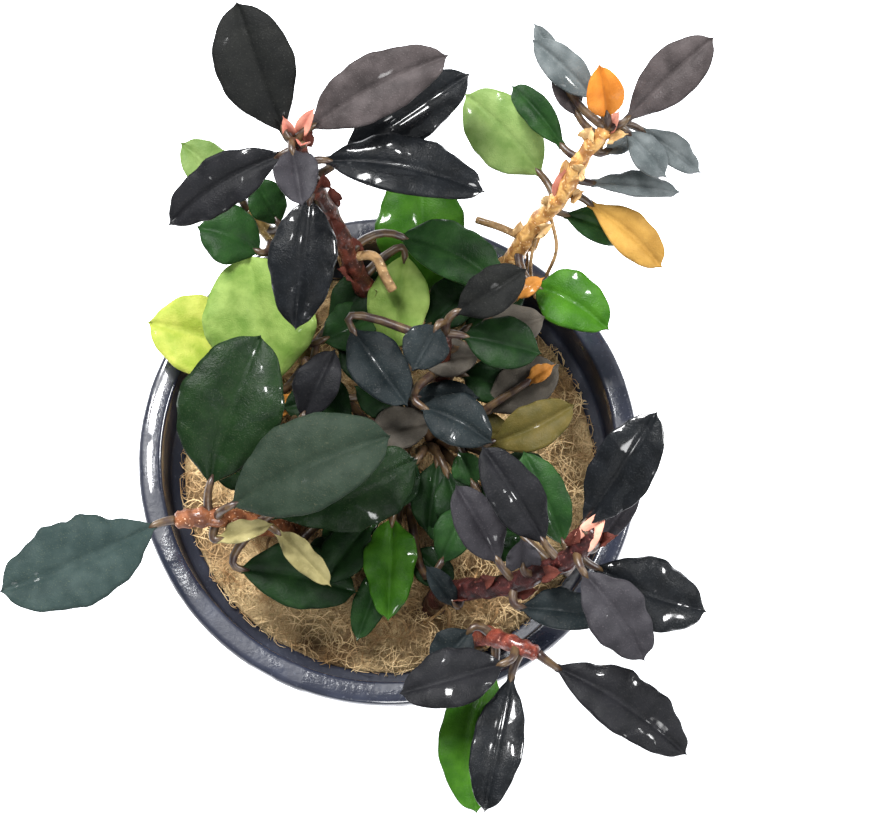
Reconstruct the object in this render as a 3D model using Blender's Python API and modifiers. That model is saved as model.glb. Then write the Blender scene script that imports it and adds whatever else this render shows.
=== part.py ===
"""A bucephalandra growing in a small net pot, at its real size.

The origin is at the middle of the pot's base and +Z is up. Scene lengths are metres. The plant is
eight leafy shoots that root in a plug of fibrous rock wool. Each leaf is a stalk that leaves its
stem and a thin blade on it, and the smallest young leaves are grown in one with their stems.
"""

import math
from collections import namedtuple

import bmesh
import bpy
from mathutils import Vector, noise

MM = 0.001
GAP = 0.3

# Net pot, in millimetres
RIM_RADIUS = 28.0
RIM_WIDTH = 2.6
POT_HEIGHT = 50.0
FLANGE_THICKNESS = 1.4
COLLAR_DEPTH = 7.0
LEDGE_WIDTH = 2.2
BASE_RADIUS = 18.0
WALL = 1.0
POT_SEGMENTS = 40
SLOTS_ROUND = 12
SLOT_WIDTH = 3.0
SLOT_HEIGHT = 13.0
SLOT_FOOTS = (7.0, 24.0)

# Rock wool plug, in millimetres
PLUG_SEGMENTS = 28
PLUG_EDGE_HEIGHT = 43.0
PLUG_CROWN = 2.6
PLUG_ROUGHNESS = 1.3

# Leaves, in millimetres
LEAF_THICKNESS = 0.42
STALK_WIDTH = 1.1
TIP_WIDTH = 0.5
BLADE_ROWS = 7
STALK_ROWS = 2

# A leaf's base is where its stalk meets the blade. A positive bow arches the blade upwards, a
# positive cup lifts its margins, sweep bends it to its left, and roll turns it about its midrib.
# Fullest is the part of the blade's length at which it is widest.
Leaf = namedtuple(
    "Leaf",
    "name colour base tip width bow cup roll sweep fullest",
    defaults=(1.0, 0.12, 0.0, 0.0, 0.52),
)
Root = namedtuple("Root", "name path radius")
Shoot = namedtuple("Shoot", "name path radius colour leaves young roots", defaults=((), ()))

BLACK = (0.012, 0.013, 0.014)
SLATE = (0.030, 0.042, 0.045)
DEEP_GREEN = (0.020, 0.045, 0.018)
GREEN = (0.080, 0.190, 0.020)
LIME = (0.230, 0.330, 0.060)
OLIVE = (0.130, 0.130, 0.050)
ORANGE = (0.550, 0.200, 0.020)

DARK_LEAVES = (
    Leaf("dark_leaf_1", BLACK, (-11.0, 29.6, 76.4), (-15.9, 42.2, 81.0), 8.6, 1.0, 0.1, 8, 0.5, 0.56),
    Leaf("dark_leaf_2", BLACK, (-8.2, 30.2, 76.2), (6.1, 36.8, 80.0), 6.8, 1.2, 0.12, -12, 0.3, 0.5),
    Leaf("dark_leaf_3", BLACK, (-4.8, 28.2, 71.0), (8.5, 36.9, 73.4), 6.6, 0.8, 0.1, -8),
    Leaf("dark_leaf_4", BLACK, (-6.6, 27.4, 73.2), (10.0, 23.8, 74.0), 7.0, 1.4, 0.15, 10, 0.6, 0.5),
    Leaf("dark_leaf_5", BLACK, (-11.4, 27.7, 74.2), (-23.2, 21.1, 71.0), 5.8, 1.0, 0.15, 14, -0.6, 0.5),
    Leaf("dark_leaf_6", SLATE, (-10.1, 27.2, 77.6), (-9.0, 20.8, 79.4), 4.8, 0.6, 0.3),
    Leaf("dark_leaf_7", BLACK, (-8.6, 23.0, 70.2), (-9.9, 10.7, 67.0), 7.4, 1.6, -0.1, 0, 0, 0.45),
    Leaf("dark_leaf_8", DEEP_GREEN, (1.5, 22.0, 62.4), (12.6, 16.8, 60.2), 6.7, 1.2, 0.1, 10, 0.8, 0.45),
    Leaf("dark_leaf_9", GREEN, (3.4, 17.4, 54.2), (3.6, 32.1, 57.0), 9.9, 1.0, 0.05, 0, 0, 0.5),
    Leaf("dark_leaf_10", LIME, (1.8, 21.0, 59.6), (0.6, 11.6, 55.2), 7.0, 0.8, 0.1, -10, 0, 0.5),
)
DARK_ROOTS = (Root("dark_root", [(-4.4, 20.2, 60.4), (-1.6, 20.0, 61.6), (-0.2, 17.6, 60.6)], 0.5),)

TAN_LEAVES = (
    Leaf("tan_leaf_1", GREEN, (16.7, 28.8, 64.0), (8.8, 36.8, 66.6), 7.8, 1.2, 0.1, 10, 0, 0.5),
    Leaf("tan_leaf_2", DEEP_GREEN, (19.0, 29.8, 70.6), (13.8, 36.7, 69.8), 3.4, 1.6, 0.2, 20),
    Leaf("tan_leaf_3", SLATE, (22.0, 33.6, 76.2), (15.9, 38.8, 79.0), 4.0, 0.8, 0.2, 10),
    Leaf("tan_leaf_4", ORANGE, (23.6, 31.2, 77.0), (22.6, 34.8, 82.6), 4.2, 0.5, 0.25, 0, 0, 0.5),
    Leaf("tan_leaf_5", BLACK, (25.6, 30.9, 76.2), (34.6, 38.7, 80.0), 5.6, 0.8, 0.1, -8, 0, 0.58),
    Leaf("tan_leaf_6", SLATE, (25.8, 30.2, 74.6), (29.9, 26.3, 71.8), 3.8, 0.8, -0.1),
    Leaf("tan_leaf_7", SLATE, (22.2, 26.6, 67.6), (31.6, 26.2, 65.8), 3.2, 1.2, 0.1, 14),
    Leaf("tan_leaf_8", ORANGE, (22.0, 25.2, 64.8), (29.8, 18.9, 62.2), 4.8, 0.8, 0.1, 0, 0.3, 0.58),
    Leaf("tan_leaf_9", GREEN, (16.4, 17.4, 58.6), (23.9, 12.2, 60.6), 6.6, 0.8, 0.12, 0, 0.4, 0.45),
)
TAN_YOUNG = (
    Leaf("tan_young_1", SLATE, (20.6, 32.2, 74.2), (18.2, 36.8, 75.4), 3.0, 0.6, 0.2),
    Leaf("tan_young_2", SLATE, (19.2, 35.2, 75.6), (16.0, 41.2, 77.4), 2.4, 0.5, 0.2),
    Leaf("tan_young_3", SLATE, (27.3, 30.9, 73.2), (33.7, 27.5, 69.4), 3.4, 0.8, 0.1),
    Leaf("tan_young_4", DEEP_GREEN, (19.4, 24.6, 62.4), (26.4, 22.6, 59.6), 3.9, 0.8, 0.1),
    Leaf("tan_young_5", SLATE, (23.6, 28.9, 71.4), (26.5, 30.4, 71.2), 2.2, 0.3, 0.2),
)
TAN_ROOTS = (Root("tan_root", [(15.2, 22.9, 58.4), (12.6, 24.2, 58.4), (9.4, 25.6, 57.4)], 0.55),)

BROAD_LEAVES = (
    Leaf("broad_leaf_1", SLATE, (-25.4, -9.7, 59.0), (-41.3, -17.5, 62.0), 9.8, 1.4, 0.12, 0, 0.8, 0.55),
    Leaf("broad_leaf_2", DEEP_GREEN, (-19.3, -5.2, 60.2), (-14.0, 9.8, 64.4), 11.6, 1.0, 0.1, 0, 0.4, 0.5),
    Leaf("broad_leaf_3", SLATE, (-16.8, -8.1, 61.8), (-0.1, -1.8, 67.0), 10.4, 1.8, 0.1, 0, 0.3, 0.52),
    Leaf("broad_leaf_4", DEEP_GREEN, (-12.8, -8.2, 56.8), (2.8, -2.2, 57.6), 9.0, 1.0, -0.08, -8, -0.8, 0.6),
    Leaf("broad_leaf_5", DEEP_GREEN, (-16.2, -13.4, 53.0), (-4.0, -15.3, 50.4), 7.4, 0.8, 0.1, 0, 0.4, 0.5),
)
BROAD_YOUNG = (
    Leaf("broad_young_1", OLIVE, (-18.6, -11.0, 57.4), (-13.0, -9.6, 58.6), 2.4, 0.5, 0.3),
    Leaf("broad_young_2", OLIVE, (-12.2, -9.8, 56.0), (-6.6, -15.4, 55.4), 3.0, 0.8, 0.3),
)

WINE_LEAVES = (
    Leaf("wine_leaf_1", BLACK, (22.0, -9.6, 70.4), (28.3, -1.6, 76.0), 6.8, 0.8, 0.12, 0, -0.4, 0.55),
    Leaf("wine_leaf_2", BLACK, (16.8, -13.2, 66.4), (10.4, -3.9, 70.0), 5.8, 1.2, 0.1, 0, 0, 0.5),
    Leaf("wine_leaf_3", BLACK, (12.0, -14.6, 63.0), (7.6, -7.2, 66.0), 5.2, 1.0, 0.1, 0, 0, 0.5),
    Leaf("wine_leaf_4", BLACK, (22.4, -15.8, 65.6), (33.9, -19.8, 62.6), 7.8, 1.0, 0.08, 0, -0.7, 0.5),
    Leaf("wine_leaf_5", SLATE, (21.0, -16.9, 68.0), (27.2, -25.5, 65.6), 6.6, 1.2, 0.1, 0, 0.2, 0.5),
    Leaf("wine_leaf_6", SLATE, (15.4, -19.2, 61.0), (23.3, -20.4, 61.6), 4.8, 1.0, 0.2, 10),
)
WINE_YOUNG = (
    Leaf("wine_young_1", SLATE, (22.4, -13.6, 66.0), (27.0, -7.4, 66.6), 2.8, 0.5, 0.2),
    Leaf("wine_young_2", SLATE, (14.6, -15.6, 64.6), (14.4, -13.4, 67.6), 3.8, 0.4, 0.3),
    Leaf("wine_young_3", DEEP_GREEN, (14.8, -14.0, 61.6), (11.6, -11.6, 59.6), 3.6, 0.8, 0.1),
    Leaf("wine_young_4", SLATE, (7.4, -17.8, 55.0), (4.4, -14.4, 58.4), 2.6, 0.4, 0.2),
)

FRONT_LEAVES = (
    Leaf("front_leaf_1", BLACK, (18.2, -25.6, 60.0), (31.9, -34.5, 58.0), 6.8, 1.4, 0.12, 6, 0.6, 0.52),
    Leaf("front_leaf_2", BLACK, (12.4, -25.6, 62.0), (1.8, -28.7, 62.2), 6.6, 1.2, 0.1, -6, 0.2, 0.5),
    Leaf("front_leaf_3", BLACK, (13.4, -26.6, 60.2), (10.5, -41.0, 61.0), 5.6, 1.2, 0.15, 0, 0, 0.55),
    Leaf("front_leaf_4", GREEN, (11.6, -25.4, 56.2), (9.7, -40.2, 55.0), 7.0, 1.0, 0.1, 0, -1.6, 0.5),
    Leaf("front_leaf_5", SLATE, (9.0, -21.2, 58.2), (5.5, -25.2, 56.6), 5.0, 0.8, 0.1),
)

CENTRE_LEAVES = (
    Leaf("centre_leaf_1", BLACK, (7.4, 12.8, 64.6), (14.7, 16.5, 68.0), 5.2, 0.8, 0.1, 0, -0.3, 0.55),
    Leaf("centre_leaf_2", SLATE, (8.2, 10.8, 62.2), (16.3, 8.7, 63.0), 6.0, 0.8, 0.1, 0, 0, 0.55),
    Leaf("centre_leaf_3", SLATE, (5.4, 11.2, 64.6), (2.9, 6.4, 65.4), 5.2, 0.5, 0.1, 0, 0, 0.5),
    Leaf("centre_leaf_4", SLATE, (-3.9, 12.0, 60.2), (1.9, 3.6, 61.0), 6.2, 0.8, 0.15, 0, -0.2, 0.5),
    Leaf("centre_leaf_5", SLATE, (3.8, 3.2, 60.4), (11.0, -0.9, 61.6), 5.9, 0.8, 0.1, 0, 0.3, 0.5),
    Leaf("centre_leaf_6", ORANGE, (11.2, -0.2, 57.8), (20.0, 3.3, 60.4), 5.2, 0.8, 0.15, 0, -0.6, 0.55),
    Leaf("centre_leaf_7", SLATE, (11.0, 4.0, 55.4), (18.5, 8.6, 57.2), 5.9, 0.8, 0.1, 0, 0, 0.55),
)
CENTRE_YOUNG = (
    Leaf("centre_young_1", SLATE, (2.8, 5.4, 56.2), (9.6, 5.2, 56.8), 3.6, 0.5, 0.1),
    Leaf("centre_young_2", OLIVE, (9.8, 11.0, 58.6), (16.9, 13.3, 60.4), 5.2, 0.5, 0.1),
    Leaf("centre_young_3", SLATE, (-2.4, 1.4, 54.6), (4.4, 2.6, 55.4), 5.0, 0.5, 0.1),
    Leaf("centre_young_4", DEEP_GREEN, (9.4, -4.6, 56.2), (7.9, -1.4, 57.4), 3.5, 0.4, 0.1),
)

GREEN_LEAVES = (
    Leaf("green_leaf_1", LIME, (-17.0, 27.4, 61.6), (-22.6, 32.2, 63.6), 5.2, 0.6, 0.1),
    Leaf("green_leaf_2", DEEP_GREEN, (-14.4, 21.4, 58.6), (-20.8, 23.8, 59.8), 6.8, 0.8, 0.1, 0, -0.3, 0.52),
    Leaf("green_leaf_3", LIME, (-13.0, 7.6, 53.6), (-15.6, 20.6, 58.6), 12.6, 1.4, 0.08, 0, 0, 0.52),
    Leaf("green_leaf_4", LIME, (-15.6, 11.4, 53.0), (-26.4, 14.3, 54.6), 9.2, 0.8, 0.1, 0, 0, 0.5),
    Leaf("green_leaf_5", GREEN, (-7.4, 12.2, 55.0), (-1.6, 14.8, 55.4), 5.6, 0.4, 0.1),
    Leaf("green_leaf_6", BLACK, (-9.4, 2.4, 59.2), (-6.0, 9.0, 61.6), 5.0, 0.8, 0.15, 0, 0, 0.5),
)
GREEN_YOUNG = (
    Leaf("green_young_1", GREEN, (-12.2, 24.4, 59.6), (-14.7, 28.4, 62.6), 4.4, 0.5, 0.1),
)

LOW_LEAVES = (
    Leaf("low_leaf_1", GREEN, (0.4, -7.6, 52.0), (0.0, -18.4, 51.6), 5.8, 0.8, 0.15, 0, 0, 0.42),
)
LOW_YOUNG = (
    Leaf("low_young_1", DEEP_GREEN, (-0.4, -11.8, 48.6), (-3.4, -20.1, 48.4), 3.8, 0.5, 0.1),
    Leaf("low_young_2", DEEP_GREEN, (3.2, -5.8, 50.4), (9.6, -9.6, 50.8), 5.0, 0.8, 0.1),
    Leaf("low_young_3", DEEP_GREEN, (-0.8, -5.4, 50.8), (-7.0, -10.2, 51.2), 5.0, 0.8, 0.1),
    Leaf("low_young_4", DEEP_GREEN, (0.8, -2.8, 51.4), (-4.0, 2.4, 52.4), 5.0, 0.8, 0.1),
)

SHOOTS = (
    Shoot(
        "dark_stem",
        [(-9.7, 28.8, 75.0), (-8.2, 25.9, 71.0), (-5.8, 22.6, 65.0), (-3.7, 19.4, 59.0),
         (-1.9, 16.8, 53.0), (-1.2, 15.4, 46.0)],
        1.2,
        (0.120, 0.030, 0.022),
        DARK_LEAVES,
        (),
        DARK_ROOTS,
    ),
    Shoot(
        "tan_stem",
        [(23.8, 30.6, 75.0), (21.2, 28.6, 71.0), (19.3, 26.0, 66.0), (16.4, 24.0, 61.0),
         (14.2, 21.8, 56.4), (12.4, 18.4, 51.4), (11.4, 16.4, 46.0)],
        1.1,
        (0.500, 0.300, 0.090),
        TAN_LEAVES,
        TAN_YOUNG,
        TAN_ROOTS,
    ),
    Shoot(
        "broad_stem",
        [(-23.2, -9.0, 58.4), (-20.7, -8.8, 58.6), (-17.7, -8.6, 57.6), (-13.9, -8.8, 54.4),
         (-11.0, -7.8, 50.0), (-10.2, -7.4, 46.0)],
        1.3,
        (0.330, 0.120, 0.050),
        BROAD_LEAVES,
        BROAD_YOUNG,
    ),
    Shoot(
        "wine_stem",
        [(22.6, -12.4, 69.0), (19.6, -14.8, 65.8), (16.4, -15.8, 63.0), (12.7, -16.6, 60.0),
         (9.0, -16.2, 56.0), (6.0, -15.8, 51.0), (4.8, -15.8, 45.6)],
        1.3,
        (0.150, 0.012, 0.018),
        WINE_LEAVES,
        WINE_YOUNG,
    ),
    Shoot(
        "front_stem",
        [(16.3, -24.2, 60.2), (13.8, -23.2, 60.2), (11.5, -21.8, 57.2), (10.2, -20.6, 52.0),
         (9.8, -19.6, 45.0)],
        1.1,
        (0.260, 0.035, 0.022),
        FRONT_LEAVES,
    ),
    Shoot(
        "centre_stem",
        [(6.4, 11.1, 62.0), (6.1, 9.6, 59.0), (5.9, 7.1, 55.0), (5.7, 5.0, 50.4), (5.6, 4.4, 46.8)],
        0.9,
        (0.220, 0.060, 0.030),
        CENTRE_LEAVES,
        CENTRE_YOUNG,
    ),
    Shoot(
        "green_stem",
        [(-15.9, 26.3, 59.0), (-11.8, 21.9, 56.0), (-10.4, 15.2, 53.0), (-8.9, 9.4, 49.6),
         (-8.6, 8.2, 46.0)],
        1.0,
        (0.260, 0.170, 0.050),
        GREEN_LEAVES,
        GREEN_YOUNG,
    ),
    Shoot(
        "low_stem",
        [(1.2, -4.6, 51.6), (1.4, -4.2, 49.4), (1.6, -3.6, 47.0)],
        0.8,
        (0.260, 0.170, 0.050),
        LOW_LEAVES,
        LOW_YOUNG,
    ),
)


def collection(name):
    made = bpy.data.collections.new(name)
    bpy.context.scene.collection.children.link(made)
    return made


def material(name, colour, roughness=0.35):
    made = bpy.data.materials.new(name)
    made.use_nodes = True
    shader = made.node_tree.nodes["Principled BSDF"]
    shader.inputs["Base Color"].default_value = (*colour, 1.0)
    shader.inputs["Roughness"].default_value = roughness
    made.diffuse_color = (*colour, 1.0)
    return made


def mesh_object(name, mesh, into, finish=None):
    made = bpy.data.objects.new(name, mesh)
    into.objects.link(made)
    if finish:
        mesh.materials.append(finish)
    return made


def object_from_bmesh(name, bm, into, finish=None):
    mesh = bpy.data.meshes.new(name)
    bm.to_mesh(mesh)
    bm.free()
    return mesh_object(name, mesh, into, finish)


def as_helper(obj):
    obj.hide_render = True
    obj.display_type = "WIRE"


def join_with(target, other, operation):
    boolean = target.modifiers.new(other.name, "BOOLEAN")
    boolean.operation = operation
    boolean.solver = "EXACT"
    boolean.material_mode = "TRANSFER"
    boolean.object = other
    as_helper(other)


def pot_profile():
    """Radius and height of the pot's section, down its outside and back up its inside."""
    collar_in = RIM_RADIUS - RIM_WIDTH
    collar_out = collar_in + WALL
    ledge_z = POT_HEIGHT - COLLAR_DEPTH
    basket_out = collar_out - LEDGE_WIDTH
    flange_z = POT_HEIGHT - FLANGE_THICKNESS
    return [
        (collar_in + 0.3, POT_HEIGHT),
        (RIM_RADIUS - 0.5, POT_HEIGHT),
        (RIM_RADIUS, POT_HEIGHT - 0.5),
        (RIM_RADIUS, flange_z),
        (collar_out, flange_z),
        (collar_out - 0.3, ledge_z),
        (basket_out, ledge_z - 0.8),
        (BASE_RADIUS, 0.8),
        (BASE_RADIUS - 0.8, 0.0),
        (0.0, 0.0),
        (0.0, WALL),
        (BASE_RADIUS - WALL - 0.6, WALL),
        (basket_out - WALL, ledge_z + 0.4),
        (collar_in - 0.6, ledge_z + 0.8),
        (collar_in, POT_HEIGHT - 0.4),
    ]


def turned(name, profile, segments, into, finish):
    """A closed turned shape: its profile is an outline of edges that a Screw carries round Z."""
    bm = bmesh.new()
    points = [bm.verts.new((radius * MM, 0.0, height * MM)) for radius, height in profile]
    for first, second in zip(points, points[1:]):
        bm.edges.new((first, second))
    if profile[0][0] > 0.0:
        bm.edges.new((points[-1], points[0]))
    made = object_from_bmesh(name, bm, into, finish)
    screw = made.modifiers.new("Turn", "SCREW")
    screw.steps = segments
    screw.render_steps = segments
    screw.use_merge_vertices = True
    screw.merge_threshold = 0.00001
    return made


def pot_slots(into):
    """Two rows of upright slots round the basket, the upper row staggered over the lower."""
    bm = bmesh.new()
    reach = 12.0
    for row, foot in enumerate(SLOT_FOOTS):
        for number in range(SLOTS_ROUND):
            turn = math.tau * (number + 0.5 * row) / SLOTS_ROUND
            out = BASE_RADIUS + 1.0
            block = bmesh.ops.create_cube(bm, size=1.0)["verts"]
            for vert in block:
                along = out + vert.co.x * reach
                across = vert.co.y * SLOT_WIDTH
                height = foot + (vert.co.z + 0.5) * SLOT_HEIGHT
                vert.co = Vector((
                    along * math.cos(turn) - across * math.sin(turn),
                    along * math.sin(turn) + across * math.cos(turn),
                    height,
                )) * MM
    return object_from_bmesh("slot_cutters", bm, into)


def ground(x, y):
    """Height of the rock wool's lumpy top, in millimetres."""
    radius = math.hypot(x, y)
    crown = PLUG_CROWN * (1.0 - (radius / RIM_RADIUS) ** 2)
    lumps = noise.noise(Vector((x, y, 0.0)) * 0.16) * PLUG_ROUGHNESS
    return PLUG_EDGE_HEIGHT + crown + lumps


def plug(into):
    """The rock wool plug: a cone frustum whose top face is inset into rings that follow the ground."""
    ledge_z = POT_HEIGHT - COLLAR_DEPTH
    top_radius = RIM_RADIUS - RIM_WIDTH - LEDGE_WIDTH - GAP
    foot_radius = BASE_RADIUS - WALL - 0.6 - GAP
    foot = WALL + GAP
    bm = bmesh.new()
    bmesh.ops.create_cone(
        bm,
        cap_ends=True,
        segments=PLUG_SEGMENTS,
        radius1=foot_radius * MM,
        radius2=top_radius * MM,
        depth=(ledge_z - foot) * MM,
    )
    bmesh.ops.translate(bm, verts=bm.verts, vec=(0.0, 0.0, 0.5 * (ledge_z + foot) * MM))
    bm.faces.ensure_lookup_table()
    top = max(bm.faces, key=lambda face: face.calc_center_median().z)
    rings = 5
    for _ in range(rings):
        bmesh.ops.inset_region(bm, faces=[top], thickness=top_radius / (rings + 0.6) * MM)
    for vert in bm.verts:
        if vert.co.z > (ledge_z - 1.0) * MM:
            vert.co.z = ground(vert.co.x / MM, vert.co.y / MM) * MM
    bmesh.ops.triangulate(bm, faces=bm.faces)
    return object_from_bmesh("rock_wool", bm, into, material("rock wool", (0.30, 0.20, 0.09), 0.9))


def smooth_path(points, steps=2):
    """Points along a curve that runs smoothly through the given ones."""
    knots = [Vector(point) for point in points]
    knots = [2 * knots[0] - knots[1], *knots, 2 * knots[-1] - knots[-2]]
    path = []
    for a, b, c, d in zip(knots, knots[1:], knots[2:], knots[3:]):
        for step in range(steps):
            t = step / steps
            path.append(0.5 * (
                2 * b + (c - a) * t + (2 * a - 5 * b + 4 * c - d) * t * t
                + (3 * b - a - 3 * c + d) * t ** 3
            ))
    return [*path, knots[-2]]


def tube(name, path, radius, into, finish=None, taper=0.75):
    """A round tube along a path in millimetres, made a mesh so that it can be joined to others."""
    curve = bpy.data.curves.new(name, "CURVE")
    curve.dimensions = "3D"
    curve.bevel_depth = radius * MM
    curve.bevel_resolution = 2
    curve.use_fill_caps = True
    spline = curve.splines.new("POLY")
    spline.points.add(len(path) - 1)
    for number, (point, place) in enumerate(zip(spline.points, path)):
        point.co = (*(Vector(place) * MM), 1.0)
        point.radius = taper + (1.0 - taper) * number / (len(path) - 1)
    drawn = bpy.data.objects.new(name + "_path", curve)
    into.objects.link(drawn)
    graph = bpy.context.evaluated_depsgraph_get()
    mesh = bpy.data.meshes.new_from_object(drawn.evaluated_get(graph))
    bpy.data.objects.remove(drawn)
    bm = bmesh.new()
    bm.from_mesh(mesh)
    bmesh.ops.remove_doubles(bm, verts=bm.verts, dist=0.00001)
    bm.to_mesh(mesh)
    bm.free()
    mesh.name = name
    return mesh_object(name, mesh, into, finish)


def nearest_on(path, place):
    """The point of a path that lies nearest to a place."""
    best = None
    for start, end in zip(path, path[1:]):
        run = end - start
        along = max(0.0, min(1.0, (place - start).dot(run) / run.length_squared))
        spot = start + run * along
        if best is None or (spot - place).length < (best - place).length:
            best = spot
    return best


def midrib(leaf, stem_path, clear):
    """Places down the stalk and the midrib, each with the blade's half width there."""
    base = Vector(leaf.base)
    tip = Vector(leaf.tip)
    joint = nearest_on(stem_path, base)
    start = joint + (base - joint).normalized() * clear
    heading = (tip - base).normalized()
    side = heading.cross(Vector((0.0, 0.0, 1.0))).normalized()
    rise = side.cross(heading)
    turn_in = base - heading * 0.5 * (base - start).length
    rows = []
    for row in range(STALK_ROWS):
        t = row / STALK_ROWS
        place = start * (1 - t) ** 2 + turn_in * 2 * t * (1 - t) + base * t * t
        rows.append((place, STALK_WIDTH / 2))
    for row in range(BLADE_ROWS + 1):
        t = 0.5 - 0.5 * math.cos(math.pi * row / BLADE_ROWS)
        arch = 4 * t * (1 - t)
        place = base.lerp(tip, t) + rise * leaf.bow * arch - side * leaf.sweep * arch
        skew = math.log(0.5) / math.log(leaf.fullest)
        swell = math.sin(math.pi * t ** skew) ** 0.62 if 0 < row < BLADE_ROWS else 0.0
        least = STALK_WIDTH if t < 0.5 else TIP_WIDTH
        rows.append((place, max(leaf.width * swell, least) / 2))
    return rows


def leaf_shell(leaf, stem_path, clear, into):
    """A grid laid along the midrib, three points across, with its thickness from Solidify."""
    rows = midrib(leaf, stem_path, clear)
    bm = bmesh.new()
    bmesh.ops.create_grid(bm, x_segments=len(rows) - 1, y_segments=2, size=1.0)
    last = len(rows) - 1
    for vert in bm.verts:
        row = round((vert.co.x + 1) / 2 * last)
        across = round(vert.co.y)
        place, half = rows[row]
        ahead = rows[min(row + 1, last)][0] - rows[max(row - 1, 0)][0]
        side = ahead.cross(Vector((0.0, 0.0, 1.0))).normalized()
        rise = side.cross(ahead).normalized()
        turn = math.radians(leaf.roll) * min(1.0, row / (STALK_ROWS + 2))
        lift = leaf.cup * max(half - STALK_WIDTH / 2, 0.0) * abs(across)
        out = side * math.cos(turn) + rise * math.sin(turn)
        over = rise * math.cos(turn) - side * math.sin(turn)
        vert.co = (place - out * half * across + over * lift) * MM
    finish = material(leaf.name.replace("_", " "), leaf.colour, 0.3)
    made = object_from_bmesh(leaf.name, bm, into, finish)
    shell = made.modifiers.new("Thickness", "SOLIDIFY")
    shell.thickness = LEAF_THICKNESS * MM
    shell.offset = 0.0
    return made


def shoot(plant, parts, helpers):
    """A stem with its own young leaves and roots, and each full leaf as a piece beside it."""
    foot = Vector(plant.path[-1])
    foot.z = ground(foot.x, foot.y) + 2 * GAP
    path = smooth_path([*plant.path[:-1], foot])
    bark = material(plant.name.replace("_", " "), plant.colour, 0.45)
    stem = tube(plant.name, path, plant.radius, parts, bark)
    for root in plant.roots:
        join_with(stem, tube(root.name, smooth_path(root.path), root.radius, helpers), "UNION")
    for young in plant.young:
        join_with(stem, leaf_shell(young, path, 0.0, helpers), "UNION")
    clear = plant.radius + GAP + 0.1
    for leaf in plant.leaves:
        leaf_shell(leaf, path, clear, parts)


for old in list(bpy.data.objects):
    bpy.data.objects.remove(old)

parts = collection("bucephalandra")
helpers = collection("cutters")
black_plastic = material("black plastic", (0.015, 0.016, 0.019), 0.35)
pot = turned("net_pot", pot_profile(), POT_SEGMENTS, parts, black_plastic)
join_with(pot, pot_slots(helpers), "DIFFERENCE")
plug(parts)
for plant in SHOOTS:
    shoot(plant, parts, helpers)
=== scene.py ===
"""Looks of a bucephalandra in its net pot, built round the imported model."""

import math
import random
from collections import namedtuple

import bmesh
import bpy
from mathutils import Matrix, Vector, noise


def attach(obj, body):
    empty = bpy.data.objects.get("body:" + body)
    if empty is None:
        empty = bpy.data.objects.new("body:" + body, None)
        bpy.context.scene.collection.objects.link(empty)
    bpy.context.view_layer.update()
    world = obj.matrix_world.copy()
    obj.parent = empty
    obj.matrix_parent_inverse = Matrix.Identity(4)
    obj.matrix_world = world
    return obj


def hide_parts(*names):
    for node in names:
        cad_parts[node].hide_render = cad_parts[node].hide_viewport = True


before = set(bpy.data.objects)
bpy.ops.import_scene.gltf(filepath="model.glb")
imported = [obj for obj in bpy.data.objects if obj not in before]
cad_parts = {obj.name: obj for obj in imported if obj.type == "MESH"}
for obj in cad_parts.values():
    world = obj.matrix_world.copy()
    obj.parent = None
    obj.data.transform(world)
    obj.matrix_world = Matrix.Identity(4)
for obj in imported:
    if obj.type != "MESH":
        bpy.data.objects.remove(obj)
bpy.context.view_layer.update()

# Camera, light and floor.
# The plant was photographed from almost straight above, from its front, on a bright white table
# under soft light that comes from the back left.
MM = 0.001
RIM_RADIUS = 28.0
POT_HEIGHT = 50.0
PHOTO_WIDTH = 872
RIM_PIXELS = 250.6
RIM_CENTRE_RIGHT = -47.1
RIM_CENTRE_DOWN = 48.3
CAMERA_ELEVATION = math.radians(76.0)
CAMERA_DISTANCE = 450.0
SENSOR = 36.0

pixels_a_mm = RIM_PIXELS / RIM_RADIUS
ahead = Vector((0.0, math.cos(CAMERA_ELEVATION), -math.sin(CAMERA_ELEVATION)))
upwards = Vector((0.0, math.sin(CAMERA_ELEVATION), math.cos(CAMERA_ELEVATION)))
rightwards = Vector((1.0, 0.0, 0.0))
stand = Vector((0.0, 0.0, POT_HEIGHT)) - ahead * CAMERA_DISTANCE
stand += (upwards * RIM_CENTRE_DOWN - rightwards * RIM_CENTRE_RIGHT) / pixels_a_mm
camera = bpy.data.objects.new("camera", bpy.data.cameras.new("camera"))
camera.data.sensor_width = SENSOR
camera.data.lens = pixels_a_mm * CAMERA_DISTANCE * SENSOR / PHOTO_WIDTH
camera.data.clip_start = 0.01
turn = Matrix((rightwards, upwards, -ahead)).transposed().to_4x4()
camera.matrix_world = Matrix.Translation(stand * MM) @ turn
bpy.context.scene.collection.objects.link(camera)
bpy.context.scene.camera = camera
bpy.context.scene.view_settings.view_transform = "Standard"

world = bpy.data.worlds.new("studio")
world.use_nodes = True
world.node_tree.nodes["Background"].inputs["Color"].default_value = (0.92, 0.96, 1.0, 1.0)
world.node_tree.nodes["Background"].inputs["Strength"].default_value = 0.34
bpy.context.scene.world = world


def softbox(name, place, size, power):
    """A square area light that faces the plant."""
    lamp = bpy.data.lights.new(name, "AREA")
    lamp.size = size
    lamp.energy = power
    box = bpy.data.objects.new(name, lamp)
    box.location = place
    box.rotation_euler = (Vector((0.0, 0.0, 0.06)) - box.location).to_track_quat("-Z", "Y").to_euler()
    bpy.context.scene.collection.objects.link(box)


softbox("softbox_back", (-0.30, 0.42, 0.75), 0.30, 17.0)
softbox("softbox_right", (0.60, 0.10, 0.60), 0.20, 7.0)
softbox("softbox_front", (0.10, -0.60, 0.55), 0.30, 4.0)
softbox("glint", (-0.12, 0.20, 0.80), 0.07, 2.2)


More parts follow.
